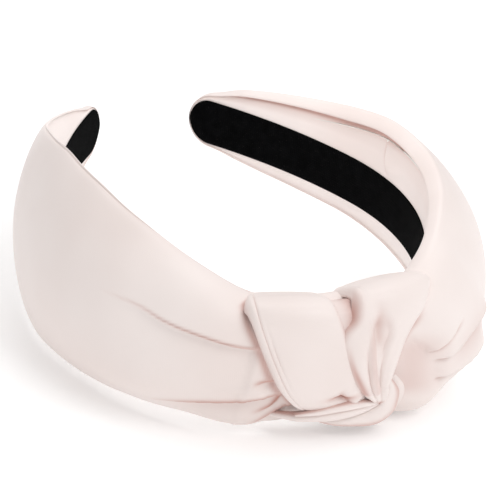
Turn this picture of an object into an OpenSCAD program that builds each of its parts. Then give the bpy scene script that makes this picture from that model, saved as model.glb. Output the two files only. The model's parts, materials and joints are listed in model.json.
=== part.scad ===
// Knotted headband: a springy plastic hoop lined with ribbon, padded, covered in satin,
// and tied in a flat knot over the crown. It lies on its lower edge with the knot at -Y
// and the tips at +Y. Places on the band are given in hoop coordinates: s is the run along
// the hoop from the middle of the crown (negative to the left), n the distance out from
// the ribbon's inner face, and z the height over the hoop's middle.

/* [Hoop] */
// Radius of the ribbon's inner face over the crown
crown_r = 48.5; // [47:0.5:50]
// Radius of the inner face along the sides
side_r = 80; // [76:1:90]
// Radius of the inner face towards the tips
tip_r = 185; // [170:5:220]
// Run from the middle of the crown to the side arc
crown_run = 55; // [53:1:58]
// Run from the middle of the crown to the tip arc
side_run = 116; // [112:1:120]
// Run from the middle of the crown to a tip
tip_run = 182; // [180:1:186]
// Width of the plastic hoop
hoop_w = 13; // [11:0.5:13]
// Thickness of the plastic hoop
hoop_t = 1.5; // [1.2:0.1:1.5]

/* [Ribbon] */
// Width of the ribbon that lines the hoop
ribbon_w = 15; // [14.4:0.2:15.4]
// Thickness of the ribbon
ribbon_t = 0.8; // [0.5:0.1:0.8]

/* [Satin] */
// Thickness of the satin with its interlining
satin_t = 0.5; // [0.3:0.1:0.6]
// How far the sleeves' front stands out from a straight line between their rims
sleeve_puff = 14; // [13.8:0.1:14.4]
// How far the satin's hem is tucked in under the ribbon
hem_tuck = 2.6; // [2:0.1:3.5]

/* [Knot] */
// Distance from the ribbon's inner face to the front of the knot
knot_out = 19.2; // [18.4:0.1:20.4]
// Height of the knot's underside over the hoop's middle, where it goes over the top rim
knot_top = 14.6; // [14.4:0.1:16]

/* [Flex] */
// Gap at the end of the crown arc that lets an arm flex inwards
flex_gap = 1; // [0.7:0.1:1.2]

/* [Placing] */
// Height of the hoop's middle over the surface that the headband lies on
hoop_z = 25.5; // [25.5:0.1:28]
// Distance from the origin back to the ribbon at the middle of the crown
apex_y = 63.2; // [60:0.1:72]
// Distance from the origin to the hoop's mirror plane
mid_x = -0.7; // [-3:0.1:3]

/* [Hidden] */

SATIN = [0.93, 0.87, 0.85];
SATIN_FOLD = [0.88, 0.78, 0.76];
RIBBON = [0.03, 0.03, 0.035];
PLASTIC = [0.12, 0.12, 0.13];
FOAM = [0.95, 0.94, 0.9];

fit_gap = 0.15;                             // between layers that move together
hoop_n = ribbon_t + satin_t + 2 * fit_gap;  // the hoop's inner face
hoop_out = hoop_n + hoop_t;
hem_n = ribbon_t + fit_gap;                 // the tucked hem's inner face
big = 400;
arc_fn = 180;

turn1 = crown_run / crown_r * 180 / PI;
turn2 = turn1 + (side_run - crown_run) / side_r * 180 / PI;
turn3 = turn2 + (tip_run - side_run) / tip_r * 180 / PI;

// Centres of the hoop's three arcs, on the right-hand side
centre1 = [0, crown_r - apex_y];
centre2 = centre1 + (crown_r - side_r) * [sin(turn1), -cos(turn1)];
centre3 = centre2 + (side_r - tip_r) * [sin(turn2), -cos(turn2)];

// Each row is a station along a sleeve: its run from the crown, the reach of the upper rim,
// the reach of the lower rim, the n of the upper rim, the n of the lower rim, and the share
// of the full puff.
LEFT_SLEEVE = [[0, 13.5, 21, 1.2, 1.2, 0.82], [20, 14, 22, 1.4, 1.6, 0.84], [30, 16.5, 23, 2.5, 4, 0.92],
               [46, 25, 24.5, 3.5, 6, 0.96], [64, 31, 25.5, 3.5, 7, 0.92], [84, 32.5, 25, 2.2, 8.5, 0.72],
               [104, 29.5, 22, 3, 6, 0.58], [120, 24.5, 19, 3.5, 3.6, 0.47], [136, 20, 16.5, 3, 2, 0.39],
               [152, 15.5, 14.2, 2, 1.1, 0.36], [164, 12.5, 12, 1, 0.8, 0.35], [174, 10.6, 10.6, 0.6, 0.6, 0.34]];
RIGHT_SLEEVE = [[0, 13.5, 21, 1.2, 1.2, 0.82], [18, 15, 22, 1.6, 1.6, 0.84], [28, 19, 23, 3, 2.4, 0.92],
                [46, 24, 22, 1.5, 3.5, 1.04], [64, 24.5, 20.5, 1, 4.5, 1.08], [84, 24.5, 19, 1.5, 4.3, 1.02],
                [104, 22.5, 16.5, 2.5, 4.1, 0.8], [120, 19, 14.8, 2.5, 4, 0.64], [136, 16, 13.6, 1.5, 2.5, 0.5],
                [152, 14, 12.6, 1, 1.3, 0.4], [164, 12.2, 11.6, 0.8, 0.9, 0.36], [174, 10.6, 10.6, 0.6, 0.6, 0.34]];

ring_step = 5;          // run between the rings of a sleeve
front_steps = 16;       // steps across a sleeve's front
hem_steps = 3;          // steps across each hem
tip_inset = 8;          // the sleeves stop this far short of the ribbon's tips
padding_end = 158;      // run to the ends of the arms' padding
pad_short = 3.5;        // the padding stops this far short of the satin's rims
pad_gap = 0.8;          // between the padding and the satin's slanting faces
band_step = 3;          // run between the corners of the arms' flat bands

// Angle of the hoop at a run, positive to the right
function turned(s) =
    let(a = abs(s))
    sign(s) * (a < crown_run ? a / crown_r * 180 / PI
        : a < side_run ? turn1 + (a - crown_run) / side_r * 180 / PI
        : turn2 + (a - side_run) / tip_r * 180 / PI);

// Place in hoop coordinates to place in the part's frame
function at(s, n, z) =
    let(a = abs(s), t = abs(turned(s)), side = s < 0 ? -1 : 1,
        c = a < crown_run ? centre1 : a < side_run ? centre2 : centre3,
        r = a < crown_run ? crown_r : a < side_run ? side_r : tip_r)
    [mid_x + side * (c[0] + (r + n) * sin(t)), c[1] - (r + n) * cos(t), hoop_z + z];

crown_end = crown_run - flex_gap;   // the crown's pieces stop here, and the arms start at crown_run

function mix(a, b, t) = a * (1 - t) + b * t;

// Smooth value of column k of a sleeve's stations at a run
function station(rows, k, s) =
    let(i = max([for (j = [0 : len(rows) - 2]) if (rows[j][0] <= s || j == 0) j]),
        t = min(1, max(0, (s - rows[i][0]) / (rows[i + 1][0] - rows[i][0]))),
        p0 = rows[max(0, i - 1)][k], p1 = rows[i][k], p2 = rows[i + 1][k],
        p3 = rows[min(len(rows) - 1, i + 2)][k])
    (2 * p1 + (p2 - p0) * t + (2 * p0 - 5 * p1 + 4 * p2 - p3) * t * t
        + (3 * p1 - p0 - 3 * p2 + p3) * t * t * t) / 2;

// The reach of both rims, their n, and the puff, at a run from the crown
function section(rows, s) =
    [for (k = [1 : 4]) station(rows, k, s), sleeve_puff * station(rows, 5, s)];

// Front of a section from the upper rim to the lower, drawn in from the satin's face by an inset
function front(sec, inset) =
    [for (i = [0 : front_steps])
        let(t = i / front_steps, up = sec[0] - inset, low = sec[1] - inset)
        [mix(sec[2], sec[3], t) + satin_t + (sec[4] - satin_t) * pow(max(0, sin(180 * t)), 0.7)
            + (i == 0 || i == front_steps ? inset * 0.4 : -inset * min(1, sin(180 * t) * 3)),
         mix(up, -low, t)]];

// Hem from the ribbon's edge up to the rim, for the upper side; face is its n at the ribbon
function hem(reach, rim_n, face, inset) =
    [for (i = [1 : hem_steps])
        let(t = i / (hem_steps + 0.5))
        [mix(face, rim_n + inset, t), mix(ribbon_w / 2 + 0.9, reach - 0.6 - inset, t)]];

function flip(pts) = [for (p = pts) [p[0], -p[1]]];
function reversed(list) = [for (i = [len(list) - 1 : -1 : 0]) list[i]];

// One face of the satin's C-shaped section, from the upper tuck round the front to the lower
function skin(sec, inset) =
    let(tuck = hem_n + inset, show = 0.3 + inset,
        up = concat([[tuck, ribbon_w / 2 - hem_tuck], [tuck, ribbon_w / 2 + 0.3]],
                    hem(sec[0], sec[2], show, inset)),
        low = concat([[tuck, ribbon_w / 2 - hem_tuck], [tuck, ribbon_w / 2 + 0.3]],
                     hem(sec[1], sec[3], show, inset)))
    concat(up, front(sec, inset), reversed(flip(low)));

function shell_ring(rows, s) =
    let(sec = section(rows, abs(s)))
    concat(skin(sec, 0), reversed(skin(sec, satin_t)));

// The n of the padding's front at a height, drawn in from the satin
function pad_front(sec, z, inset) =
    let(t = (sec[0] - z) / (sec[0] + sec[1]))
    mix(sec[2], sec[3], t) + satin_t - inset + (sec[4] - satin_t) * pow(max(0, sin(180 * t)), 0.7);

// The n of the padding's back at a height: against the hem, and round the hoop
function pad_back(reach, rim_n, z, inset) =
    z < hoop_w / 2 + 2 * fit_gap ? hoop_out + fit_gap
        : mix(0.3, rim_n, (z - ribbon_w / 2) / (reach - ribbon_w / 2)) + inset + fit_gap;

// Section of the padding, as a strip folded back on itself
function pad_ring(rows, s) =
    let(sec = section(rows, abs(s)), inset = satin_t + pad_gap,
        edge = hoop_w / 2 + fit_gap, clear = ribbon_w / 2 + 0.9,
        up = [for (t = [0 : 3]) mix(sec[0] - pad_short, clear, t / 3)],
        low = [for (t = [0 : 3]) mix(sec[1] - pad_short, clear, t / 3)],
        zs = concat(up, [edge, edge / 2, 0, -edge / 2, -edge], [for (z = reversed(low)) -z]))
    concat([for (z = zs) [pad_front(sec, z, inset), z]],
           [for (z = reversed(zs))
               [pad_back(sec[z > 0 ? 0 : 1], sec[z > 0 ? 2 : 3], abs(z), inset), z]]);

// Solid through a list of rings of [s, n, z] points. Each ring is a strip folded back on
// itself, so that its end is closed between the strip's two sides.
module loft(rings) {
    m = len(rings[0]);
    c = len(rings);
    half = m / 2;
    last = (c - 1) * m;
    polyhedron(
        points = [for (ring = rings) for (p = ring) at(p[0], p[1], p[2])],
        faces = concat(
            [for (j = [0 : half - 2])
                each [[j, j + 1, m - 2 - j], [j, m - 2 - j, m - 1 - j]]],
            [for (j = [0 : half - 2])
                each [[last + j, last + m - 2 - j, last + j + 1],
                      [last + j, last + m - 1 - j, last + m - 2 - j]]],
            [for (i = [0 : c - 2]) for (j = [0 : m - 1])
                let(k = (j + 1) % m)
                each [[i * m + j, (i + 1) * m + j, (i + 1) * m + k],
                      [i * m + j, (i + 1) * m + k, i * m + k]]]),
        convexity = 8);
}

function runs(from, to, count) = [for (i = [0 : count]) mix(from, to, i / count)];

module satin_shell(rows, from, to) {
    count = ceil(abs(to - from) / ring_step);
    loft([for (s = runs(from, to, count)) [for (p = shell_ring(rows, s)) [s, p[0], p[1]]]]);
}

module padding(rows, from, to) {
    count = ceil(abs(to - from) / ring_step);
    loft([for (s = runs(from, to, count)) [for (p = pad_ring(rows, s)) [s, p[0], p[1]]]]);
}

// Strap laid over the band: each row of its path is [n, z, s of the left edge, s of the right
// edge], and the strap is that thick out from the path, thinning to its long edges
function strap_point(path, t, k) =
    let(x = t * (len(path) - 1), i = min(len(path) - 2, floor(x)), f = x - i)
    mix(path[i][k], path[i + 1][k], f * f * (3 - 2 * f) * 0.4 + f * 0.6);

module strap(path, thick, steps) {
    across = 8;
    loft([for (i = [0 : steps])
        let(t = i / steps, n = strap_point(path, t, 0), z = strap_point(path, t, 1),
            e = 0.5 / steps,
            dn = strap_point(path, min(1, t + e), 0) - strap_point(path, max(0, t - e), 0),
            dz = strap_point(path, min(1, t + e), 1) - strap_point(path, max(0, t - e), 1),
            q = norm([dn, dz]), out = [-dz / q, dn / q],
            s0 = strap_point(path, t, 2), s1 = strap_point(path, t, 3))
        concat(
            [for (j = [0 : across])
                let(u = j / across, h = thick * (0.45 + 0.55 * pow(sin(180 * u), 0.6)))
                [mix(s0, s1, u), n + out[0] * h, z + out[1] * h]],
            [for (j = [across : -1 : 0]) [mix(s0, s1, j / across), n, z]])]);
}

// Flat band round the crown, with true round faces
module crown_band(n, t, w) {
    reach = turned(crown_end);
    translate([mid_x, centre1[1], hoop_z - w / 2])
    rotate([0, 0, -90 - reach])
    rotate_extrude(angle = 2 * reach, $fn = arc_fn)
    translate([crown_r + n, 0])
    square([t, w]);
}

// Flat band along an arm, with a round end; side is 1 on the right and -1 on the left
module arm_band(side, n, t, w, end_run) {
    round_s = end_run - w / 2;
    ss = runs(crown_run, end_run, ceil((end_run - crown_run) / band_step));
    outline = concat([for (s = ss) at(side * s, n, 0)], [for (s = reversed(ss)) at(side * s, n + t, 0)]);
    intersection() {
        translate([0, 0, hoop_z - w / 2])
        linear_extrude(w)
        polygon([for (p = outline) [p[0], p[1]]]);
        translate(at(side * round_s, n, 0))
        rotate([0, 0, side * turned(round_s) + (side > 0 ? 0 : 180)])
        union() {
            translate([-big, -big / 2, -w])
            cube([big, big, 2 * w]);
            rotate([90, 0, 0])
            cylinder(r = w / 2, h = big / 4, center = true, $fn = 64);
        }
    }
}

module hoop_crown() color(PLASTIC) crown_band(hoop_n, hoop_t, hoop_w);
module hoop_left_arm() color(PLASTIC) arm_band(-1, hoop_n, hoop_t, hoop_w, tip_run - 1.5);
module hoop_right_arm() color(PLASTIC) arm_band(1, hoop_n, hoop_t, hoop_w, tip_run - 1.5);

module lining_crown() color(RIBBON) crown_band(0, ribbon_t, ribbon_w);
module lining_left_arm() color(RIBBON) arm_band(-1, 0, ribbon_t, ribbon_w, tip_run);
module lining_right_arm() color(RIBBON) arm_band(1, 0, ribbon_t, ribbon_w, tip_run);

left_tuck_s = -12;      // where the left sleeve goes in under the knot
right_tuck_s = 5;       // where the right sleeve comes out from under the knot

module padding_crown() color(FOAM) {
    padding(LEFT_SLEEVE, -crown_end, -fit_gap);
    padding(RIGHT_SLEEVE, fit_gap, crown_end);
}
module padding_left() color(FOAM) padding(LEFT_SLEEVE, -padding_end, -crown_run);
module padding_right() color(FOAM) padding(RIGHT_SLEEVE, crown_run, padding_end);

module satin_left_crown() color(SATIN) satin_shell(LEFT_SLEEVE, -crown_end, left_tuck_s);
module satin_right_crown() color(SATIN) satin_shell(RIGHT_SLEEVE, right_tuck_s, crown_end);
module satin_left_arm() color(SATIN) satin_shell(LEFT_SLEEVE, tip_inset - tip_run, -crown_run);
module satin_right_arm() color(SATIN) satin_shell(RIGHT_SLEEVE, crown_run, tip_run - tip_inset);
module knot_underwrap() color(SATIN_FOLD)
    satin_shell(LEFT_SLEEVE, left_tuck_s + fit_gap, right_tuck_s - fit_gap);

strap_n = 14.6;         // inner face of the knot's straps
strap_t = knot_out - strap_n;

// The wide diagonal wrap over the front
module front_wrap() color(SATIN)
    strap([[1.4, knot_top, -22, -4], [7, knot_top - 0.2, -21.5, -3.8], [strap_n - 1.6, knot_top - 2.4, -20.4, -3.2],
           [strap_n, 4, -16.5, 0.4], [strap_n, -6, -12.5, 3.4], [strap_n, -14.6, -8, 5.4]], strap_t, 18);
// The strand that comes over from the right arm and gathers to a point
module cross_strand() color(SATIN)
    strap([[1.4, knot_top + 0.2, -1, 12], [7, knot_top + 0.4, -0.8, 15], [strap_n - 1.6, knot_top - 1, -0.6, 17],
           [strap_n, 5, 1.4, 15.4], [strap_n, -4, 4.4, 13], [strap_n, -14.4, 6.6, 10.6]], strap_t, 18);
module knot_gusset() color(SATIN_FOLD)
    strap([[strap_n, 11.4, -2.2, -1], [strap_n, 7, -0.6, 0.4]], strap_t * 0.4, 6);
module lower_tuck() color(SATIN)
    strap([[strap_n - 0.4, -15.8, -8.4, 10.4], [strap_n - 2, -22, -9, 11]], strap_t * 0.8, 6);
module tuck_tail() color(SATIN)
    strap([[strap_n, -13.4, 11.2, 13.2], [strap_n - 1.4, -23, 11.6, 14.4]], strap_t * 0.7, 6);
module side_flap() color(SATIN_FOLD)
    strap([[strap_n + 2.6, 2, 16.4, 22], [strap_n + 2.6, -11, 14, 28], [strap_n + 2, -19, 15.2, 26.4],
           [strap_n + 0.8, -24, 16.2, 23]], strap_t * 0.5, 12);

hoop_crown();
hoop_left_arm();
hoop_right_arm();
lining_crown();
lining_left_arm();
lining_right_arm();
padding_crown();
padding_left();
padding_right();
satin_left_crown();
satin_right_crown();
satin_left_arm();
satin_right_arm();
knot_underwrap();
front_wrap();
cross_strand();
knot_gusset();
lower_tuck();
tuck_tail();
side_flap();
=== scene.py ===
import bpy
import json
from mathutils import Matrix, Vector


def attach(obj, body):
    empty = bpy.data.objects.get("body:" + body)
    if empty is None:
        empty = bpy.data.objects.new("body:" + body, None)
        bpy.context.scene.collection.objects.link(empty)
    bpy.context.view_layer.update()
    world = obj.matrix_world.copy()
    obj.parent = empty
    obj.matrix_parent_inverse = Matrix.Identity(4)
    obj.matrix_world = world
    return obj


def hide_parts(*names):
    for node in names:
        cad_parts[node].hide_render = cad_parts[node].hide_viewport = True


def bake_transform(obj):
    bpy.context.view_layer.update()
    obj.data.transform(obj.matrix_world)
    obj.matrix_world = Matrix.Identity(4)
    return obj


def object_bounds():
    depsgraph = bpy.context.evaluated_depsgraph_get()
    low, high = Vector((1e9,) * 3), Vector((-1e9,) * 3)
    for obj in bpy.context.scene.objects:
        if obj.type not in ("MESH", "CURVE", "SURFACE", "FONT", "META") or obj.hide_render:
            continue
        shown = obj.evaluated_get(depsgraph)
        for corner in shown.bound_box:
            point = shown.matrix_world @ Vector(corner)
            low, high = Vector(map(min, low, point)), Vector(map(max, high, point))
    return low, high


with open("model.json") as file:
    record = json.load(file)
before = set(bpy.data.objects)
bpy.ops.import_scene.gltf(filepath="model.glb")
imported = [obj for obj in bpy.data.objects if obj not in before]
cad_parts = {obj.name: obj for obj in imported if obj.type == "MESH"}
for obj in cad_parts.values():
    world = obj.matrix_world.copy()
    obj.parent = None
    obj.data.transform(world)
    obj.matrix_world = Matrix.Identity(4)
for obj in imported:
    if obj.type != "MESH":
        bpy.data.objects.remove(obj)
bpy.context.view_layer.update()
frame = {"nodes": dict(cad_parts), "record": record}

import bpy
import json
import math
import numpy as np
from mathutils import Matrix, Vector

# ---------------------------------------------------------------- the hoop
# Places are given in hoop coordinates in millimetres: s along the hoop from the middle of the
# crown (negative to the left), n out from the ribbon's inner face, z over the hoop's middle.
MM = 0.001
seat = frame["record"]["mounts"][0]
CENTRE = [c / MM for c in seat["pos_m"]]
CROWN_R = seat["dims"]["r_mm"]
SIDE_R, TIP_R = 80.0, 185.0
CROWN_RUN, SIDE_RUN, TIP_RUN = 55.0, 116.0, 182.0
RIBBON_HALF = 7.5
RIBBON_T = 0.8
SLEEVE_END = TIP_RUN + 0.6
CLOTH_T = 0.5
BLEND_HALF = 15

CROWN_TURN = CROWN_RUN / CROWN_R
SIDE_TURN = CROWN_TURN + (SIDE_RUN - CROWN_RUN) / SIDE_R


def turned(a):
    """How far the hoop has turned, in radians, a millimetres from the middle of the crown."""
    on_side = CROWN_TURN + (a - CROWN_RUN) / SIDE_R
    on_tip = SIDE_TURN + (a - SIDE_RUN) / TIP_R
    return np.where(a < CROWN_RUN, a / CROWN_R, np.where(a < SIDE_RUN, on_side, on_tip))


def at(s, n, z):
    """Places in metres in the shared frame, from arrays of hoop coordinates."""
    s, n, z = np.broadcast_arrays(np.asarray(s, float), np.asarray(n, float), np.asarray(z, float))
    a = np.abs(s)
    side_x = (CROWN_R - SIDE_R) * math.sin(CROWN_TURN)
    side_y = -(CROWN_R - SIDE_R) * math.cos(CROWN_TURN)
    tip_x = side_x + (SIDE_R - TIP_R) * math.sin(SIDE_TURN)
    tip_y = side_y - (SIDE_R - TIP_R) * math.cos(SIDE_TURN)
    on_crown, on_side = a < CROWN_RUN, a < SIDE_RUN
    r = np.where(on_crown, CROWN_R, np.where(on_side, SIDE_R, TIP_R)) + n
    arc_x = np.where(on_crown, 0, np.where(on_side, side_x, tip_x))
    arc_y = np.where(on_crown, 0, np.where(on_side, side_y, tip_y))
    t = turned(a)
    x = np.where(s < 0, -1, 1) * (arc_x + r * np.sin(t))
    y = arc_y - r * np.cos(t)
    return np.stack([x + CENTRE[0], y + CENTRE[1], z + CENTRE[2]], -1) * MM


def step(x):
    """Smooth rise from 0 to 1 as x goes from 0 to 1."""
    x = np.clip(x, 0, 1)
    return x * x * (3 - 2 * x)


def bell(x, centre, width):
    return np.exp(-((x - centre) / width) ** 2)


def spline(points, count):
    """Catmull-Rom curve through rows of numbers, with count steps in each span."""
    p = np.asarray(points, float)
    p = np.concatenate([2 * p[:1] - p[1:2], p, 2 * p[-1:] - p[-2:-1]])
    t = np.arange(count) / count
    t = t.reshape((-1,) + (1,) * (p.ndim - 1))
    out = []
    for a, b, c, d in zip(p, p[1:], p[2:], p[3:]):
        square = 2 * a - 5 * b + 4 * c - d
        cube = 3 * b - a - 3 * c + d
        out.append((2 * b + (c - a) * t + square * t ** 2 + cube * t ** 3) / 2)
    return np.concatenate(out + [p[-2:-1]])


def along(rows, s, k):
    """Value of column k of a table of stations at the runs s, with its corners rounded off."""
    reach = 7
    fine = np.arange(-30, 215, 1.0)
    value = np.interp(fine, [row[0] for row in rows], [row[k] for row in rows])
    window = np.hanning(2 * reach + 3)[1:-1]
    value = np.convolve(np.pad(value, reach, mode="edge"), window / window.sum(), mode="valid")
    return np.interp(s, fine, value)


# ---------------------------------------------------------------- meshes
def mesh_grid(name, places, crease, uv, material, closed=False):
    """Mesh over a grid of places, with a painted crease shade value and a cloth coordinate at each point."""
    rows, cols = places.shape[:2]
    index = np.arange(rows * cols).reshape(rows, cols)
    here = index if closed else index[:, :-1]
    beside = np.roll(index, -1, 1) if closed else index[:, 1:]
    faces = np.stack([here[:-1], here[1:], beside[1:], beside[:-1]], -1).reshape(-1, 4)
    me = bpy.data.meshes.new(name)
    me.from_pydata(places.reshape(-1, 3).tolist(), [], faces.tolist())
    me.polygons.foreach_set("use_smooth", [True] * len(me.polygons))
    # Painted crease shade, kept at each point to darken the satin's colour
    depth = me.attributes.new("crease_shade", "FLOAT", "POINT")
    depth.data.foreach_set("value", np.clip(crease, 0, 1).astype(np.float32).ravel())
    layer = me.uv_layers.new(name="cloth")
    loops = np.empty(len(me.loops), dtype=np.int32)
    me.loops.foreach_get("vertex_index", loops)
    layer.data.foreach_set("uv", uv.reshape(-1, 2)[loops].astype(np.float32).ravel())
    me.materials.append(material)
    ob = bpy.data.objects.new(name, me)
    bpy.context.scene.collection.objects.link(ob)
    return ob


def cloth_uv(places):
    """Cloth coordinates in metres, from the lengths along a grid's rows and columns."""
    du = np.linalg.norm(np.diff(places, axis=0), axis=-1).mean(1)
    dv = np.linalg.norm(np.diff(places, axis=1), axis=-1)
    u = np.concatenate([[0], np.cumsum(du)])
    v = np.concatenate([np.zeros((len(places), 1)), np.cumsum(dv, 1)], 1)
    v = v - v.mean(1, keepdims=True)
    return np.stack([np.broadcast_to(u[:, None], v.shape), v], -1)


def grid_normals(places):
    n = np.cross(np.gradient(places, axis=0), np.gradient(places, axis=1))
    return n / np.maximum(np.linalg.norm(n, axis=-1, keepdims=True), 1e-12)


def line_distance(a, b, line):
    """Distance of the grid points (a, b) from a line, positive on its left, and how far along it
    the nearest point is, as a share of its length."""
    line = np.asarray(line, float)
    lengths = np.linalg.norm(np.diff(line, axis=0), axis=1)
    nearest = np.full(a.shape, np.inf)
    side = np.zeros(a.shape)
    share = np.zeros(a.shape)
    run = 0.0
    for p, q, length in zip(line[:-1], line[1:], lengths):
        d = (q - p) / length
        t = np.clip((a - p[0]) * d[0] + (b - p[1]) * d[1], 0, length)
        off_a, off_b = a - (p[0] + t * d[0]), b - (p[1] + t * d[1])
        distance = np.hypot(off_a, off_b)
        nearer = distance < nearest
        nearest = np.where(nearer, distance, nearest)
        side = np.where(nearer, np.sign(d[0] * off_b - d[1] * off_a), side)
        share = np.where(nearer, (run + t) / lengths.sum(), share)
        run += length
    return nearest * side, share


def fold(*line, height=0.0, width=0.7, reach=7.0, fade=(0.35, 0.15), shade=1.0):
    """A lapped fold. Cloth stands up on the left of the line, with a lip of the given width, and
    falls off over its reach, and a line of painted shade of the given strength lies just right of
    the line, under the lip; a fold of no height is only that line of painted shade. It fades in
    and out over the given shares of its length."""
    return dict(line=line, height=height, width=width, reach=reach, fade=fade, shade=shade)


def fold_lift(a, b, f):
    """How far a fold lifts the grid points (a, b), and how strong the painted shade in its crease is there.
    """
    x, share = line_distance(a, b, spline(f["line"], 8))
    fade = step(share / f["fade"][0]) * step((1 - share) / f["fade"][1])
    width = f["width"]
    rise = 1 / (1 + np.exp(-np.clip(x / (width * 0.4), -30, 30)))
    lift = rise * np.exp(-np.abs(x) / f["reach"]) - 0.35 * bell(x / width, -0.4, 1)
    return f["height"] * fade * lift, f["shade"] * fade * bell(x, -0.45 * width, 0.9 * width)


def lump(a, b, s, z, half_s, half_z, height):
    """A round swelling of the cloth, or a dent if its height is negative."""
    return height * bell(a, s, half_s) * bell(b, z, half_z)


def shape_cloth(a, b, folds, lumps, share):
    """Lift and painted crease shade from all of a piece's folds and lumps, scaled by share."""
    lift, depth = np.zeros(a.shape), np.zeros(a.shape)
    for f in folds:
        up, crease = fold_lift(a, b, f)
        lift = lift + up * share
        depth = np.maximum(depth, crease * share)
    for row in lumps:
        lift = lift + lump(a, b, *row) * share
    return lift, depth


# ---------------------------------------------------------------- materials
def new_material(name):
    m = bpy.data.materials.new(name)
    m.use_nodes = True
    nodes, links = m.node_tree.nodes, m.node_tree.links
    return m, nodes, links, nodes["Principled BSDF"]


def math_node(nodes, links, kind, a, b=None):
    node = nodes.new("ShaderNodeMath")
    node.operation = kind
    for socket, value in zip(node.inputs, (a, b)):
        if value is None:
            continue
        if isinstance(value, (int, float)):
            socket.default_value = value
        else:
            links.new(value, socket)
    return node.outputs[0]


def weave_height(nodes, links, pitch, across_share):
    """Height of a plain weave of threads, from the cloth coordinates."""
    uv = nodes.new("ShaderNodeUVMap")
    uv.uv_map = "cloth"
    parts = nodes.new("ShaderNodeSeparateXYZ")
    links.new(uv.outputs[0], parts.inputs[0])
    waves = []
    for axis, share in ((0, 1.0), (1, across_share)):
        turn = math_node(nodes, links, "MULTIPLY", parts.outputs[axis], 2 * math.pi / pitch)
        wave = math_node(nodes, links, "SINE", turn)
        waves.append(math_node(nodes, links, "MULTIPLY", wave, share))
    return math_node(nodes, links, "ADD", waves[0], waves[1])


def noise(nodes, links, scale, detail=2.0, roughness=0.5):
    node = nodes.new("ShaderNodeTexNoise")
    node.inputs["Scale"].default_value = scale
    node.inputs["Detail"].default_value = detail
    node.inputs["Roughness"].default_value = roughness
    place = nodes.new("ShaderNodeTexCoord")
    links.new(place.outputs["Object"], node.inputs["Vector"])
    return node.outputs["Fac"]


def ramp(nodes, links, fac, stops):
    node = nodes.new("ShaderNodeValToRGB")
    while len(node.color_ramp.elements) < len(stops):
        node.color_ramp.elements.new(0.5)
    for element, (position, colour) in zip(node.color_ramp.elements, stops):
        element.position = position
        element.color = (*colour, 1)
    links.new(fac, node.inputs["Fac"])
    return node.outputs["Color"]


def mix_colour(nodes, links, fac, a, colour):
    node = nodes.new("ShaderNodeMix")
    node.data_type = "RGBA"
    links.new(fac, node.inputs[0])
    links.new(a, node.inputs[6])
    node.inputs[7].default_value = (*colour, 1)
    return node.outputs[2]


def bump(nodes, links, height, strength, distance, over=None):
    """Normal of a bumped surface; over is the normal of a finer bump that it carries."""
    node = nodes.new("ShaderNodeBump")
    node.inputs["Strength"].default_value = strength
    node.inputs["Distance"].default_value = distance
    links.new(height, node.inputs["Height"])
    if over is not None:
        links.new(over, node.inputs["Normal"])
    return node.outputs[0]


def satin_material():
    m, nodes, links, bsdf = new_material("blush_satin")
    blush = [(0.3, (0.80, 0.70, 0.665)), (0.5, (0.835, 0.742, 0.71)), (0.7, (0.86, 0.775, 0.745))]
    base = ramp(nodes, links, noise(nodes, links, 26), blush)
    # Painted shade: the crease shade value mixes the blush towards a dark salmon in creases, under lapped
    # folds and where parts overlap
    depth = nodes.new("ShaderNodeAttribute")
    depth.attribute_name = "crease_shade"
    crease = math_node(nodes, links, "MULTIPLY", depth.outputs["Fac"], 0.95)
    links.new(mix_colour(nodes, links, crease, base, (0.5, 0.22, 0.17)), bsdf.inputs["Base Color"])
    rough = nodes.new("ShaderNodeMapRange")
    rough.inputs["To Min"].default_value = 0.36
    rough.inputs["To Max"].default_value = 0.5
    links.new(noise(nodes, links, 60, 3.0), rough.inputs["Value"])
    links.new(rough.outputs[0], bsdf.inputs["Roughness"])
    bsdf.inputs["Sheen Weight"].default_value = 0.25
    bsdf.inputs["Sheen Roughness"].default_value = 0.4
    bsdf.inputs["Sheen Tint"].default_value = (1.0, 0.94, 0.92, 1)
    bsdf.inputs["Specular IOR Level"].default_value = 0.45
    threads = bump(nodes, links, weave_height(nodes, links, 0.00045, 0.35), 0.12, 0.00005)
    ripples = bump(nodes, links, noise(nodes, links, 55), 0.35, 0.0009, over=threads)
    links.new(ripples, bsdf.inputs["Normal"])
    return m


def ribbon_material():
    m, nodes, links, bsdf = new_material("black_ribbon")
    blacks = [(0.3, (0.0012, 0.0012, 0.0013)), (0.7, (0.003, 0.003, 0.0033))]
    links.new(ramp(nodes, links, noise(nodes, links, 300), blacks), bsdf.inputs["Base Color"])
    bsdf.inputs["Roughness"].default_value = 0.85
    bsdf.inputs["Specular IOR Level"].default_value = 0.02
    ribs = weave_height(nodes, links, 0.0008, 0.4)
    links.new(bump(nodes, links, ribs, 0.5, 0.00012), bsdf.inputs["Normal"])
    return m


def plastic_material():
    m, nodes, links, bsdf = new_material("hoop_plastic")
    blacks = [(0.3, (0.02, 0.02, 0.022)), (0.7, (0.035, 0.035, 0.038))]
    links.new(ramp(nodes, links, noise(nodes, links, 90), blacks), bsdf.inputs["Base Color"])
    bsdf.inputs["Roughness"].default_value = 0.4
    links.new(bump(nodes, links, noise(nodes, links, 900), 0.15, 0.0001), bsdf.inputs["Normal"])
    return m


def wadding_material():
    m, nodes, links, bsdf = new_material("wadding")
    whites = [(0.3, (0.78, 0.77, 0.73)), (0.7, (0.9, 0.89, 0.86))]
    links.new(ramp(nodes, links, noise(nodes, links, 220, 5.0), whites), bsdf.inputs["Base Color"])
    bsdf.inputs["Roughness"].default_value = 0.95
    fuzz = noise(nodes, links, 500, 6.0, 0.7)
    links.new(bump(nodes, links, fuzz, 0.6, 0.0006), bsdf.inputs["Normal"])
    return m


SATIN = satin_material()
RIBBON = ribbon_material()
PLASTIC = plastic_material()
WADDING = wadding_material()

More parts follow.
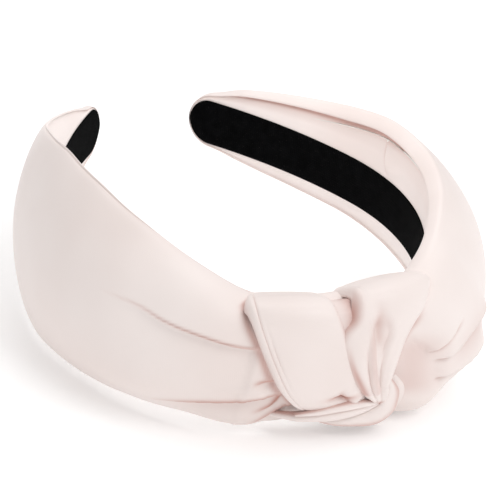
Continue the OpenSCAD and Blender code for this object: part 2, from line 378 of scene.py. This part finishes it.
for node in ("hoop_crown", "hoop_left_arm", "hoop_right_arm"):
    hoop_part = frame["nodes"][node]
    hoop_part.data.materials.clear()
    hoop_part.data.materials.append(PLASTIC)

# ---------------------------------------------------------------- sleeves
# Stations along a sleeve, as rows of run, reach of the upper rim, reach of the lower rim, n of the
# upper rim, n of the lower rim, and how far the front stands out from a line between the rims.
LEFT = [
    [0, 10.6, 23, 1.2, 5, 10.6], [12, 10.4, 24.6, 1.3, 7, 11], [20, 11, 24.2, 1.8, 7.6, 12.4],
    [30, 16.4, 23.8, 2.8, 7.6, 13.8], [46, 25.6, 24.2, 3.4, 6.8, 13.8], [64, 31, 25.2, 3.2, 7, 13.2],
    [84, 32.8, 25, 2.4, 8.5, 10.4], [104, 29.8, 22, 3, 6, 8.4], [120, 25, 19, 3.5, 3.6, 6.6],
    [136, 20, 16.5, 3.6, 2, 5.4], [152, 15.6, 14.2, 2.8, 1.1, 4.8], [164, 12.2, 12, 1.8, 0.8, 4.6],
    [174, 8.6, 9, 1, 0.6, 4.5], [183, 8.4, 8.6, 0.6, 0.6, 4.4],
]
RIGHT = [
    [0, 10.8, 21, 1.2, 3, 10.5], [12, 11.2, 25, 2.4, 5, 12], [20, 12, 26.5, 7, 6, 14.6],
    [30, 16.4, 25.5, 4.4, 5.5, 15.6], [46, 22.8, 24, 1.4, 4, 16.2], [64, 25, 21.5, 0.8, 4.5, 15.6],
    [84, 25.4, 19, 1, 4.3, 14.2], [104, 24.9, 16.5, 2, 4.1, 11.4], [120, 22.6, 14.8, 2, 4, 9.2],
    [136, 20, 13.6, 1.5, 2.5, 7], [152, 17.2, 12.2, 1, 1.3, 5.6], [164, 14.6, 10.8, 0.8, 0.9, 5],
    [174, 10.2, 8.8, 0.6, 0.6, 4.5], [183, 8.6, 8.4, 0.6, 0.6, 4.4],
]
UNDER_KNOT = [[0, 10.4, 21.4, 1.1, 2.8, 12], [30, 10.4, 21.4, 1.1, 2.8, 12]]

TIP_ROUND = RIBBON_HALF + 0.4          # radius of a sleeve's end
TIP_THICK = 1.2                        # how far its front still stands out at the very end
TUCK_N, HEM_N = 0.95, 0.55             # the cloth behind the ribbon, and beside it
TUCK_DEPTH = 2.2                       # how far the hem goes in behind the ribbon
RIM_N = 3.6                            # the n of a rim past this leans only the top of its front
CURL_MOST = 3.4                        # a rim that rolls further than this curls no deeper
CONTROLS_BESIDE = 5                    # control points from each tuck to its rim
GROOVE_CONTROL = 3                     # the one at the bottom of the groove inside the rim
CLOTH_SPANS, PADDING_SPANS = 9, 2      # steps in each span between control points
FRONT_AT = (0.012, 0.05, 0.11, 0.2, 0.31, 0.43, 0.55, 0.67, 0.78, 0.87, 0.935, 0.975)


def inner_side(reach, rim_n, edge, close, inset, groove):
    """Control points from the tuck behind the ribbon's edge to the rim, with a groove inside the rim."""
    room = np.maximum(reach - edge, 0.3)
    groove = np.minimum(groove, room * 0.4)
    curl = np.minimum(groove, CURL_MOST)
    return [(TUCK_N + inset + 0 * reach, edge - TUCK_DEPTH * close),
            (HEM_N + inset + 0 * reach, edge + 0.25),
            ((HEM_N + rim_n) / 2 + inset - 0.2, edge + (room - groove) / 2),
            (rim_n + inset + 0.5 * curl, reach - groove - 0.1 * np.minimum(groove, 1)),
            (rim_n + inset - 0.28 * curl, reach - 0.68 * groove)]


def section_controls(rows, s, inset, grooves):
    """Control points (n, z) of a sleeve's section at the runs s, from the upper tuck to the lower."""
    up, low, up_n, low_n, puff = (along(rows, s, k) for k in range(1, 6))
    tip = np.clip((s - (SLEEVE_END - TIP_ROUND)) / TIP_ROUND, 0, 1)
    close = np.sqrt(1 - tip ** 2)
    up, low = (0.04 + (reach - 0.04) * close for reach in (up, low))
    puff = np.where(tip > 0, TIP_THICK + (puff - TIP_THICK) * close ** 0.4, puff)
    blunt = 0.62 - 0.3 * step((s - 158) / 14)
    sloped = 1 - step((s - 20) / 24)
    edge = np.minimum(RIBBON_HALF, np.minimum(up, low) * 0.85)
    up, low, puff = up - inset * 2.2, low - inset * 2.2, puff - inset * 2

    controls = inner_side(up, up_n, edge, close, inset, grooves[0])
    for t in FRONT_AT:
        curl = np.maximum(up_n - RIM_N, 0) * (1 - t) ** 5
        n = np.minimum(up_n, RIM_N) * (1 - t) + curl + low_n * t + puff * math.sin(math.pi * t) ** blunt
        z = up - (up + low) * t ** (1 + 0.5 * sloped) + 0.45 * sloped * (n - up_n) * (1 - t) ** 2
        controls.append((n, z))
    below = inner_side(low, low_n, edge, close, inset, grooves[1])
    controls += [(n, -z) for n, z in reversed(below)]
    return np.stack([np.stack(point, -1) for point in controls])


def section_runs(start, end):
    """Runs of a sleeve's sections, closer together at the knot, at the cut hem and at the tip."""
    round_end = end - 10 * (1 - np.linspace(0, 1, 14)) ** 1.6
    return np.concatenate([np.arange(start, 66, 0.5), np.arange(66, 92, 1.1), np.arange(92, 108, 0.4),
                           np.arange(108, end - 10, 1.1), round_end])


def cut_hem(run, z):
    """The step where the right sleeve's inner hem begins, and the painted shade in its crease. It spans
    the columns from the ribbon's edge to the groove inside the rim."""
    line = fold((96, 7), (99, 12), (104, 20), height=0.9, width=0.5, reach=6, fade=(0.05, 0.2), shade=0.5)
    rise, depth = fold_lift(run, z, line)
    inside = np.zeros(run.shape[1])
    inside[CLOTH_SPANS + 2:GROOVE_CONTROL * CLOTH_SPANS - 2] = 1
    share = inside * step((z - 8) / 4)
    return rise * share, depth * share


def rim_crease_shade(s, shape):
    """Painted shade along the groove inside the right sleeve's upper rim, sharper on the side
    towards the ribbon."""
    depth = np.zeros(shape)
    fade = step((s - 56) / 20) * step((172 - s) / 12)
    for j in range(-6, 15):
        sharp = 4 if j < 0 else 1.5
        share = bell(j / CLOTH_SPANS * sharp, 0, 1)
        depth[:, GROOVE_CONTROL * CLOTH_SPANS + j] = 0.75 * share * fade
    return depth


def sleeve(name, side, rows, folds, lumps, grooves, start=1.0, end=SLEEVE_END, inset=0.0, material=SATIN):
    """A sleeve over the hoop and its padding, or with an inset the padding inside it."""
    s = section_runs(start, end)
    spans = PADDING_SPANS if inset else CLOTH_SPANS
    section = spline(section_controls(rows, s, inset, grooves), spans)
    n, z = section[..., 0].T, section[..., 1].T
    run = np.broadcast_to((side * s)[:, None], n.shape)
    inner_shade = np.zeros(n.shape)
    # The right sleeve gets painted shade in its inner hem's crease and along the groove inside its rim
    if side > 0 and not inset:
        rise, hem_shade = cut_hem(run, z)
        n = n - rise
        inner_shade = np.maximum(hem_shade, rim_crease_shade(s, n.shape))
    beside = (CONTROLS_BESIDE - 1) * spans
    # Folds and lumps act on the front only, with a soft change at its rims
    front = np.zeros(n.shape[1])
    front[beside:-beside] = 1
    window = np.hanning(9)
    front = step(np.convolve(front, window / window.sum(), mode="same"))
    lift, depth = shape_cloth(run, z, folds, lumps, front)
    places = at(run, n, z)
    outward = grid_normals(places) * -side
    places = places + outward * (lift * MM)[..., None]
    depth = np.maximum(depth, inner_shade)
    if side > 0:
        places, depth = places[:, ::-1], depth[:, ::-1]
    return mesh_grid(name, places, depth, cloth_uv(places), material)


# Folds are lines of (s, z), each with its cloth standing up on its left and painted shade just to its right
left_folds = [
    fold((-16.2, 1.8), (-21.8, 2.9), (-28.8, 5.2), (-35.7, 7), (-42.9, 9.3), (-53, 10.2),
         height=-2, width=0.5, reach=13, fade=(0.05, 0.7), shade=0.75),
    fold((-13.2, -7.3), (-15.9, -7.7), (-18, -8.8), height=-1.5, reach=3.5, fade=(0.02, 0.6)),
    fold((-11, -11.8), (-14.3, -12.8), (-17.6, -13.9), (-20.8, -15.1), (-27.7, -16), (-34, -17.6), (-41, -20),
         height=-2.2, width=0.8, reach=5, fade=(0.02, 0.5)),
    fold((-10.8, -12.8), (-12.6, -16.4), (-15, -18.2), (-18, -19.4),
         height=-1.3, width=0.8, reach=3, fade=(0.02, 0.5)),
    fold((-8, -16.4), (-11, -19), (-15, -21.4), (-19, -23.4),
         height=-0.9, width=0.8, reach=3, fade=(0.02, 0.4), shade=0.7),
    # A fold of no height: a line of painted shadow where the wrapped strand's left edge lies over the sleeve
    fold((-20.6, 13), (-19, 8), (-16.6, 2), (-13.6, -7.6), (-11, -12.4), (-8, -17),
         width=0.9, fade=(0.02, 0.02), shade=0.65),
]
right_folds = [
    fold((19, -3.8), (20.8, -2.3), (23.3, -0.2), (25.4, 1.4), (28.5, 3.2),
         height=2.4, reach=4, fade=(0.12, 0.6)),
    fold((20.4, -7.2), (22.7, -6.2), (25.6, -5.2), (30.4, -2.8), (36.6, -1.6), (45, 0.5),
         height=3, reach=5, fade=(0.14, 0.3)),
    fold((21.4, -12.2), (24, -12), (27, -11.9), (31, -11.6), (36, -11), (44, -9.5),
         height=3, reach=5, fade=(0.14, 0.3)),
    # Folds of no height, only painted shade: a shadow line along the crossing strand's right edge, a line of
    # shade by the small tail fold, broad shade over the panel in the crossing strand's shadow, and broad
    # shade below the second pleat
    fold((18.6, 10), (17.2, 6.6), (15, 4), (14, 1.6), (12.8, -3.4), (11.8, -10),
         width=0.9, fade=(0.3, 0.02), shade=0.5),
    fold((12, -9.6), (13.8, -12), (14.4, -15), (14.4, -18), (12.6, -21.5),
         width=1.1, fade=(0.1, 0.1), shade=0.7),
    fold((19, 4), (18.6, -2), (19.4, -10), (19.6, -17), width=5.5, fade=(0.3, 0.2), shade=0.3),
    fold((24, -5.6), (30.4, -3), (36.6, -1.8), (46, 0.5), width=3.6, fade=(0.3, 0.3), shade=0.3),
]
# Lumps are rows of s, z, half-length along each, and height
left_lumps = [(-34, 15, 22, 8, 0.8), (-22, -22, 9, 4.5, 2), (-17, -10.4, 6, 2.2, 1.2), (-42, -14, 16, 6, 0.8)]
right_lumps = [(34, -15, 15, 7.5, 4), (21, -20, 6.5, 6, 4.2), (22, 4, 9, 12, 1.4), (58, -10, 18, 8, 1)]

left_sleeve = sleeve("left_sleeve", -1, LEFT, left_folds, left_lumps, grooves=(0.8, 0.8))
right_sleeve = sleeve("right_sleeve", 1, RIGHT, right_folds, right_lumps, grooves=(6, 0.8))


# ---------------------------------------------------------------- knot
def strand(name, path, profile, across=90, folds=(), lumps=(), shade_spots=()):
    """Band of cloth on a path of rows [n, z, s of the left edge, s of the right edge]. profile(u, v)
    gives its lift and painted crease shade at the shares u of its length and v of its width."""
    rows = spline(path, 9)
    dn, dz = np.gradient(rows[:, 0]), np.gradient(rows[:, 1])
    length = np.maximum(np.hypot(dn, dz), 1e-6)
    even = np.linspace(0, 1, across)
    v = 0.65 * even + 0.35 * (0.5 - 0.5 * np.cos(np.pi * even))
    u, v = np.meshgrid(np.linspace(0, 1, len(rows)), v, indexing="ij")
    s = rows[:, 2:3] * (1 - v) + rows[:, 3:4] * v
    z = np.broadcast_to(rows[:, 1:2], s.shape)
    front = step((rows[:, 0:1] - 11) / 4) * step((u - 0.2) / 0.1)
    lift, depth = profile(u, v)
    fold_lifts, fold_shades = shape_cloth(s, z, folds, lumps, front)
    lift = lift + fold_lifts
    depth = np.maximum(depth, fold_shades)
    # Spots of painted shade where the cloth lies in shadow
    for row in shade_spots:
        depth = depth + lump(s, z, *row) * front
    places = at(s, rows[:, 0:1] - (dz / length)[:, None] * lift, z + (dn / length)[:, None] * lift)
    ob = mesh_grid(name, places, depth, cloth_uv(places), SATIN)
    cloth = ob.modifiers.new("cloth", "SOLIDIFY")
    cloth.thickness = CLOTH_T * MM
    cloth.offset = 1
    depsgraph = bpy.context.evaluated_depsgraph_get()
    solid = bpy.data.meshes.new_from_object(ob.evaluated_get(depsgraph))
    ob.modifiers.clear()
    ob.data = solid
    return ob


def wrap_profile(u, v):
    """A wide strand with a sewn hem along its left edge, with painted shade in the hem's crease and at both
    edges.
    """
    hem_at = 0.095
    edge = -2.4 * np.exp(-v / 0.025) - 1.1 * np.exp(-(1 - v) / 0.02)
    seam = -0.55 * bell(v, hem_at, 0.014) + 0.3 * bell(v, hem_at - 0.035, 0.03)
    pull = -0.35 * bell(v, hem_at + 0.06, 0.02) * bell(u, 0.62, 0.12)
    body = 0.9 * np.sin(np.pi * v) ** 0.7
    sag = -0.5 * bell(v, 0.55, 0.3) * bell(u, 0.66, 0.16)
    depth = 0.6 * bell(v, hem_at, 0.011) + 0.25 * bell(v, 0, 0.02) + 0.25 * bell(v, 1, 0.03)
    return body + edge + seam + pull + sag, depth


def cross_profile(u, v):
    """A strand that comes over the top with a rolled left edge and gathers to a point, with painted shade in
    its two pleats, at the point and along the rolled edge.
    """
    narrow = step((u - 0.45) / 0.4)
    edge = -1.6 * np.exp(-v / 0.025) - (2.6 + 1.4 * bell(u, 0.35, 0.14)) * np.exp(-(1 - v) / 0.035)
    body = 1.5 * np.sin(np.pi * v) ** 0.6 + 1.1 * bell(v, 0.05, 0.05) * bell(u, 0.32, 0.14)
    dips = -1.1 * bell(v, 0.32, 0.05) - 0.9 * bell(v, 0.6, 0.045)
    crests = 0.7 * bell(v, 0.8, 0.1) + 0.4 * bell(v, 0.18, 0.08)
    first = 0.6 * bell(v, 0.32, 0.03) * step((u - 0.6) / 0.25)
    second = 0.5 * bell(v, 0.6, 0.03) * step((u - 0.6) / 0.3)
    point = 0.8 * step((u - 0.88) / 0.07)
    rolled = 0.8 * bell(v, 0, 0.05) * bell(u, 0.45, 0.12)
    return body + edge + (dips + crests) * narrow, first + second + point + rolled


def inner_profile(u, v):
    """A hollow fold, with painted shade all over that is darker to its right."""
    return -0.4 * np.sin(np.pi * v), 0.5 * bell(v, 0.72, 0.3) + 0.12


def tail_profile(u, v):
    """A small round fold, with painted shade along its left edge."""
    return 1.1 * np.sin(np.pi * v) ** 0.7 - 0.9, 0.4 * bell(v, 0, 0.1)


def roll(name, path, shade, shade_at=0.0):
    """Rolled fold of cloth on a path of rows [s, n, z, half-width, half-depth], with painted shade of
    the given strength along its crease. Its crease lies at the given angle, counted from the left of
    the path towards the front."""
    rows = spline(path, 8)
    a = np.linspace(0, 2 * np.pi, 28, endpoint=False)
    ds, dz = np.gradient(rows[:, 0]), np.gradient(rows[:, 2])
    length = np.hypot(ds, dz)
    wide = rows[:, 3:4] * np.cos(a)
    s = rows[:, 0:1] - (dz / length)[:, None] * wide
    z = rows[:, 2:3] + (ds / length)[:, None] * wide
    n = rows[:, 1:2] + rows[:, 4:5] * np.sin(a)
    places = at(s, n, z)[:, ::-1]
    depth = np.broadcast_to(shade * bell(np.cos(a - shade_at), 1, 0.3), n.shape)[:, ::-1]
    return mesh_grid(name, places, depth, cloth_uv(places), SATIN, closed=True)


WRAP_PATH = [
    [0.8, 7.4, -20, -2.5], [1.0, 9.2, -20.4, -2.4], [2.6, 10.9, -20.6, -2.2], [6.5, 12.4, -20.6, -2.2],
    [11, 13.8, -20.4, -2.1], [14.8, 13.6, -19.9, -2], [16.8, 11.2, -19, -1.5], [17.5, 7.5, -17.9, -0.6],
    [17.7, 2, -16.3, 0.8], [17.5, -4, -14.4, 2.3], [16.9, -9.5, -12.4, 4.2], [15.9, -13.8, -10, 6],
    [14.6, -16, -8, 7.4], [12, -16.8, -7.4, 7.6],
]
wrap_folds = [
    fold((0.4, -9.4), (1.2, -12.4), (3.6, -15.4),
         height=1.3, width=0.8, reach=2.6, fade=(0.4, 0.05), shade=0.5),
]
# A dent, and a spot of painted shade in the pocket at the wrapped strand's lower edge
front_wrap = strand("wrap_strand", WRAP_PATH, wrap_profile, folds=wrap_folds,
                    lumps=[(0.6, -13.2, 2.6, 1.3, -1.7)], shade_spots=[(0.6, -12.9, 2.7, 0.9, 1)])

CROSS_PATH = [
    [0.8, 7.4, 2.4, 21], [1.0, 9.4, 2.4, 20.5], [2.8, 11.2, 2.5, 21.5], [6.5, 13, 2.6, 23],
    [11, 14.8, 2.4, 23.6], [14.8, 15.2, 1.8, 22.4], [16.7, 12.8, 1.5, 20.4], [17.4, 9.6, 1.2, 18.8],
    [17.7, 6, -0.5, 16.2], [17.8, 2, -0.2, 14.2], [17.7, -3.5, 1.2, 13], [17.3, -9.5, 3.4, 11.9],
    [16.6, -13.6, 6, 11], [15.8, -15.4, 8.2, 10.5], [14, -16.8, 9.2, 10.2],
]
cross_folds = [
    fold((4.6, 12), (5, 9.7), (5.6, 3.2), (6.6, -5), (8.6, -13),
         height=-1.5, reach=3, fade=(0.3, 0.05), shade=0.3),
    fold((8.2, 12), (9, 8), (9.2, 5), (8.4, 1.5), (7.6, -3),
         height=1, reach=2.4, fade=(0.3, 0.3), shade=0.12),
    # A fold of no height: a line of painted shadow where the wrapped strand's right edge lies over this one
    fold((0.2, 6), (1.6, -1), (3.6, -7), (6.2, -13), width=0.6, fade=(0.7, 0.05), shade=0.7),
]
# A dent and a swelling, with spots of painted shade in the dent and below it
cross_strand = strand("crossing_strand", CROSS_PATH, cross_profile, folds=cross_folds,
                      lumps=[(6.6, 8, 1.5, 4.2, -1.5), (3.6, 13, 1.4, 3.4, 0.6)],
                      shade_spots=[(6.8, 8.6, 1.1, 3.4, 0.4), (7, 4, 1, 2, 0.2)])

INNER_PATH = [
    [8, 11.8, -3.2, 4], [12.4, 13.6, -3, 3.8], [15.8, 12.2, -2.4, 3.6], [16.6, 8.6, -1.8, 3.2],
    [16.4, 4, -1.2, 2.6],
]
knot_gusset = strand("inner_fold", INNER_PATH, inner_profile, across=24)

# Rolls of cloth at the knot's foot, each with painted shade along its crease
LOWER_PATH = [
    [-8.6, 15.2, -17.9, 0.3, 0.8], [-4.5, 16, -17, 0.8, 1.3], [0, 16.2, -16.2, 1.2, 1.5],
    [4, 16.2, -16.1, 1.2, 1.5], [8, 16.4, -16.4, 0.75, 1.2], [10.6, 16.8, -15.9, 0.2, 0.5],
]
lower_roll = roll("lower_roll", LOWER_PATH, 0.6)

SECOND_PATH = [
    [-14, 9.6, -20, 0.5, 1], [-8.5, 13, -19.6, 1.2, 1.8], [-3, 14.6, -18.9, 1.6, 2.2],
    [1, 14.8, -18.8, 1.8, 2.2], [6, 15.2, -18.2, 1.4, 1.8], [9.8, 16, -17.2, 0.5, 0.9],
]
second_roll = roll("second_roll", SECOND_PATH, 0.6)

UNDER_PATH = [
    [-6, 10, -20.6, 0.6, 1.4], [0, 12.6, -21.9, 1.4, 2], [5, 14.4, -22, 2, 2], [8.8, 15.8, -21.4, 2.7, 2],
    [11, 16.8, -19.4, 2.6, 1.8], [11.8, 17.4, -16.8, 2.1, 1.3], [11.9, 17.9, -14.2, 1.7, 1],
    [11.4, 18.2, -11.6, 1, 0.7], [10.8, 18, -9.8, 0.6, 0.6], [10.4, 17.5, -8.4, 0.2, 0.4],
]
under_roll = roll("under_roll", UNDER_PATH, 0.55, shade_at=2.6)

TAIL_PATH = [
    [15.6, -10, 11.6, 14.4], [16.4, -14, 11.4, 17], [15.8, -18, 11, 18.4], [13.6, -22, 11.4, 18],
    [9.6, -25, 11.8, 16.6],
]
tuck_tail = strand("tail_fold", TAIL_PATH, tail_profile, across=28)


def under_band():
    """The sleeves' run under the knot, one band right round the hoop."""
    s = np.arange(-15, 13.01, 1.0)
    section = spline(section_controls(UNDER_KNOT, np.abs(s), -0.15, (0.6, 0.8)), 5)
    n, z = section[..., 0].T, section[..., 1].T
    places = at(s[:, None], n, z)[:, ::-1]
    return mesh_grid("under_band", places, np.zeros(n.shape), cloth_uv(places), SATIN)


knot_underwrap = under_band()


# ---------------------------------------------------------------- ribbon
def ribbon(name, side):
    """Half of the lining ribbon, with a rounded end and soft edges."""
    round_end = TIP_RUN - RIBBON_HALF * (1 - np.linspace(0, 1, 20)) ** 1.8
    s = np.concatenate([np.arange(0, TIP_RUN - RIBBON_HALF, 1.5), round_end])
    tip = np.clip((s - (TIP_RUN - RIBBON_HALF)) / RIBBON_HALF, 0, 1)
    half = np.maximum(RIBBON_HALF * np.sqrt(1 - tip ** 2), 0.05)
    v = np.linspace(-1, 1, 25)
    edge = 0.28 * np.abs(v) ** 8
    ring_n = np.concatenate([edge, RIBBON_T - edge])
    ring_v = np.concatenate([v, -v])
    places = at((side * s)[:, None], ring_n, half[:, None] * ring_v)
    if side < 0:
        places = places[:, ::-1]
    return mesh_grid(name, places, np.zeros(places.shape[:2]), cloth_uv(places), RIBBON, closed=True)


left_ribbon = ribbon("left_ribbon", -1)
right_ribbon = ribbon("right_ribbon", 1)

# ---------------------------------------------------------------- padding
PAD_START, PAD_END = 2.0, 150.0
PAD_GROOVES = (0.4, 0.4)
UPPER_HEM = 4                          # the right sleeve's upper hem holds no wadding

right_pad_rows = [[run, up - UPPER_HEM, *rest] for run, up, *rest in RIGHT]
left_pad = sleeve("left_padding", -1, LEFT, [], left_lumps, PAD_GROOVES, PAD_START, PAD_END, 1.4, WADDING)
right_pad = sleeve("right_padding", 1, right_pad_rows, [], right_lumps, PAD_GROOVES, PAD_START, PAD_END, 1.2,
                   WADDING)

# ---------------------------------------------------------------- bodies
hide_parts("satin_left_crown", "satin_left_arm")
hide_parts("satin_right_crown", "satin_right_arm", "side_flap")
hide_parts("knot_underwrap")
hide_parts("front_wrap")
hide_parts("cross_strand")
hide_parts("knot_gusset")
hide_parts("lower_tuck")
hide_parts("tuck_tail")
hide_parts("lining_crown", "lining_left_arm")
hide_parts("lining_right_arm")
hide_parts("padding_crown", "padding_left")
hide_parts("padding_right")

knot = (knot_underwrap, front_wrap, cross_strand, knot_gusset, lower_roll, second_roll, under_roll, tuck_tail)
for ob in knot:
    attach(ob, "crown")

halves = ((-1, "left_arm", (left_sleeve, left_ribbon, left_pad)),
          (1, "right_arm", (right_sleeve, right_ribbon, right_pad)))
for side, body, pieces in halves:
    start, end = (Vector(at(side * s, 10, 0)) for s in (CROWN_RUN - BLEND_HALF, CROWN_RUN + BLEND_HALF))
    for ob, slot in zip(pieces, ("satin", "ribbon", "padding")):
        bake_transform(ob)

# ---------------------------------------------------------------- floor and light
FLOOR_HALF = 3.0
FLOOR_GAP = 0.0002


def floor_material():
    m, _, _, bsdf = new_material("studio_floor")
    bsdf.inputs["Base Color"].default_value = (0.95, 0.95, 0.95, 1)
    bsdf.inputs["Roughness"].default_value = 0.9
    bsdf.inputs["Specular IOR Level"].default_value = 0.1
    bsdf.inputs["Emission Color"].default_value = (1, 1, 1, 1)
    bsdf.inputs["Emission Strength"].default_value = 0.18
    return m


def area_light(name, place, size, power, aim=(0, 0, 0.03)):
    light = bpy.data.lights.new(name, "AREA")
    light.shape = "SQUARE"
    light.size = size
    light.energy = power
    ob = bpy.data.objects.new(name, light)
    ob.location = place
    ob.rotation_euler = (Vector(place) - Vector(aim)).to_track_quat("Z", "Y").to_euler()
    bpy.context.scene.collection.objects.link(ob)
    return ob


corners = [(x * FLOOR_HALF, y * FLOOR_HALF, 0) for x, y in ((-1, -1), (1, -1), (1, 1), (-1, 1))]
floor_mesh = bpy.data.meshes.new("floor")
floor_mesh.from_pydata(corners, [], [(0, 1, 2, 3)])
floor_mesh.materials.append(floor_material())
floor = bpy.data.objects.new("floor", floor_mesh)
bpy.context.scene.collection.objects.link(floor)
floor.location.z = min(0.0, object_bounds()[0][2]) - FLOOR_GAP

world = bpy.data.worlds.new("studio")
world.use_nodes = True
sky = world.node_tree.nodes["Background"]
sky.inputs["Color"].default_value = (1, 1, 1, 1)
sky.inputs["Strength"].default_value = 0.67

area_light("overhead", (0.2, 0.15, 1.2), 1.0, 3.7)
area_light("key", (0.34, -0.8, 0.96), 0.6, 4.0)
inner_light = area_light("inner", (-0.03, 0, 0.1), 0.05, 0.04, aim=(0.06, 0.03, 0.045))
inner_light.visible_camera = False

scene = bpy.context.scene
scene.world = world
scene.view_settings.view_transform = "Standard"
scene.view_settings.look = "None"

# ---------------------------------------------------------------- camera
AZIMUTH, ELEVATION, ROLL = (math.radians(v) for v in (-23.36, 26.04, 4.47))
DISTANCE, LENS = 0.5886, 144.5
AIM_OFFSET = (2.68, 7.83, -4.81)       # millimetres from the middle of the hoop

target = (Vector(CENTRE) + Vector(AIM_OFFSET)) * MM
back = Vector((math.sin(AZIMUTH) * math.cos(ELEVATION), -math.cos(AZIMUTH) * math.cos(ELEVATION),
               math.sin(ELEVATION)))
right = Vector((math.cos(AZIMUTH), math.sin(AZIMUTH), 0))
up = back.cross(right)
camera_x = right * math.cos(ROLL) + up * math.sin(ROLL)
camera_y = up * math.cos(ROLL) - right * math.sin(ROLL)
camera_data = bpy.data.cameras.new("camera")
camera_data.sensor_width = 36
camera_data.lens = LENS
camera_data.clip_end = 20
camera = bpy.data.objects.new("camera", camera_data)
turn = Matrix((camera_x, camera_y, back)).transposed().to_4x4()
camera.matrix_world = Matrix.Translation(target + back * DISTANCE) @ turn
scene.collection.objects.link(camera)
scene.camera = camera
